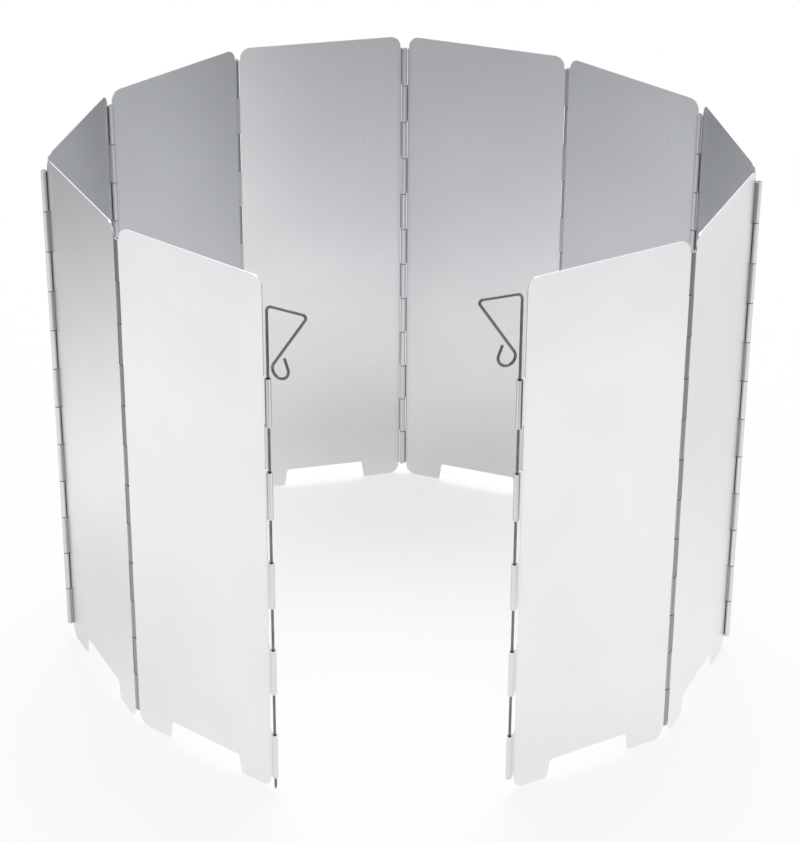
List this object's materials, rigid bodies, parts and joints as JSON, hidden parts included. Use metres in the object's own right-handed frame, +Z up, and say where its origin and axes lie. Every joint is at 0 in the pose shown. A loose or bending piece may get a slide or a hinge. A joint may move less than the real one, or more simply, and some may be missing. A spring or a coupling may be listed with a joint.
{
  "type": "stove windscreen",
  "caption": "Folding camp stove windscreen of thin aluminium plates with rolled wire-pin hinges, bottom vents and sliding wire stakes that anchor its two free ends in the ground.",
  "frame": {"origin": "on the ground, at the middle of the set-up ring's box in plan", "axes": "+Z up, the ring's open front faces -Y, +X to the right seen from the front"},
  "size_m": [0.3106, 0.3014, 0.24],
  "materials": {
    "satin_aluminium": "satin rolled sheet",
    "steel_wire": "drawn steel wire"
  },
  "bodies": {
    "panel_1": {"panel_1": "satin_aluminium", "hinge_pin_1": "steel_wire"},
    "panel_2": {"panel_2": "satin_aluminium", "hinge_pin_2": "steel_wire"},
    "panel_3": {"panel_3": "satin_aluminium", "hinge_pin_3": "steel_wire"},
    "panel_4": {"panel_4": "satin_aluminium", "hinge_pin_4": "steel_wire"},
    "panel_5": {"panel_5": "satin_aluminium", "hinge_pin_5": "steel_wire"},
    "panel_6": {"panel_6": "satin_aluminium", "hinge_pin_6": "steel_wire"},
    "panel_7": {"panel_7": "satin_aluminium", "hinge_pin_7": "steel_wire"},
    "panel_8": {"panel_8": "satin_aluminium", "hinge_pin_8": "steel_wire"},
    "panel_9": {"panel_9": "satin_aluminium", "hinge_pin_9": "steel_wire"},
    "panel_10": {"panel_10": "satin_aluminium"},
    "stake_left": {"stake_left": "steel_wire"},
    "stake_right": {"stake_right": "steel_wire"}
  },
  "joints": [
    {"name": "hinge_5", "type": "hinge", "parent": "panel_5", "child": "panel_6", "pos_m": [-0.0083, 0.14937, 0], "axis": [0, 0, -1], "range_deg": [0, 145]},
    {"name": "hinge_6", "type": "hinge", "parent": "panel_6", "child": "panel_7", "pos_m": [0.07152, 0.12651, 0], "axis": [0, 0, -1], "range_deg": [-204.5, 0]},
    {"name": "hinge_7", "type": "hinge", "parent": "panel_7", "child": "panel_8", "pos_m": [0.13173, 0.06933, 0], "axis": [0, 0, -1], "range_deg": [0, 146]},
    {"name": "hinge_8", "type": "hinge", "parent": "panel_8", "child": "panel_9", "pos_m": [0.15394, -0.01067, 0], "axis": [0, 0, -1], "range_deg": [-214.5, 0]},
    {"name": "hinge_9", "type": "hinge", "parent": "panel_9", "child": "panel_10", "pos_m": [0.12281, -0.08764, 0], "axis": [0, 0, -1], "range_deg": [0, 144.5]},
    {"name": "hinge_4", "type": "hinge", "parent": "panel_5", "child": "panel_4", "pos_m": [-0.08812, 0.12651, 0], "axis": [0, 0, 1], "range_deg": [-214, 0]},
    {"name": "hinge_3", "type": "hinge", "parent": "panel_4", "child": "panel_3", "pos_m": [-0.13807, 0.06018, 0], "axis": [0, 0, 1], "range_deg": [0, 151]},
    {"name": "hinge_2", "type": "hinge", "parent": "panel_3", "child": "panel_2", "pos_m": [-0.15394, -0.02132, 0], "axis": [0, 0, 1], "range_deg": [-219.5, 0]},
    {"name": "hinge_1", "type": "hinge", "parent": "panel_2", "child": "panel_1", "pos_m": [-0.11053, -0.0921, 0], "axis": [0, 0, 1], "range_deg": [0, 155.5]},
    {"name": "stake_left_slide", "type": "slide", "parent": "panel_1", "child": "stake_left", "axis": [0, 0, 1], "range_m": [-0.0289, 0.14]},
    {"name": "stake_right_slide", "type": "slide", "parent": "panel_10", "child": "stake_right", "axis": [0, 0, 1], "range_m": [-0.0347, 0.1342]}
  ],
  "couplings": [
    {"joint": "hinge_6", "follows": "hinge_5", "ratio": -1.4103},
    {"joint": "hinge_7", "follows": "hinge_5", "ratio": 1.0069},
    {"joint": "hinge_8", "follows": "hinge_5", "ratio": -1.4793},
    {"joint": "hinge_9", "follows": "hinge_5", "ratio": 0.99655},
    {"joint": "hinge_4", "follows": "hinge_5", "ratio": -1.4759},
    {"joint": "hinge_3", "follows": "hinge_5", "ratio": 1.0414},
    {"joint": "hinge_2", "follows": "hinge_5", "ratio": -1.5138},
    {"joint": "hinge_1", "follows": "hinge_5", "ratio": 1.0724}
  ]
}
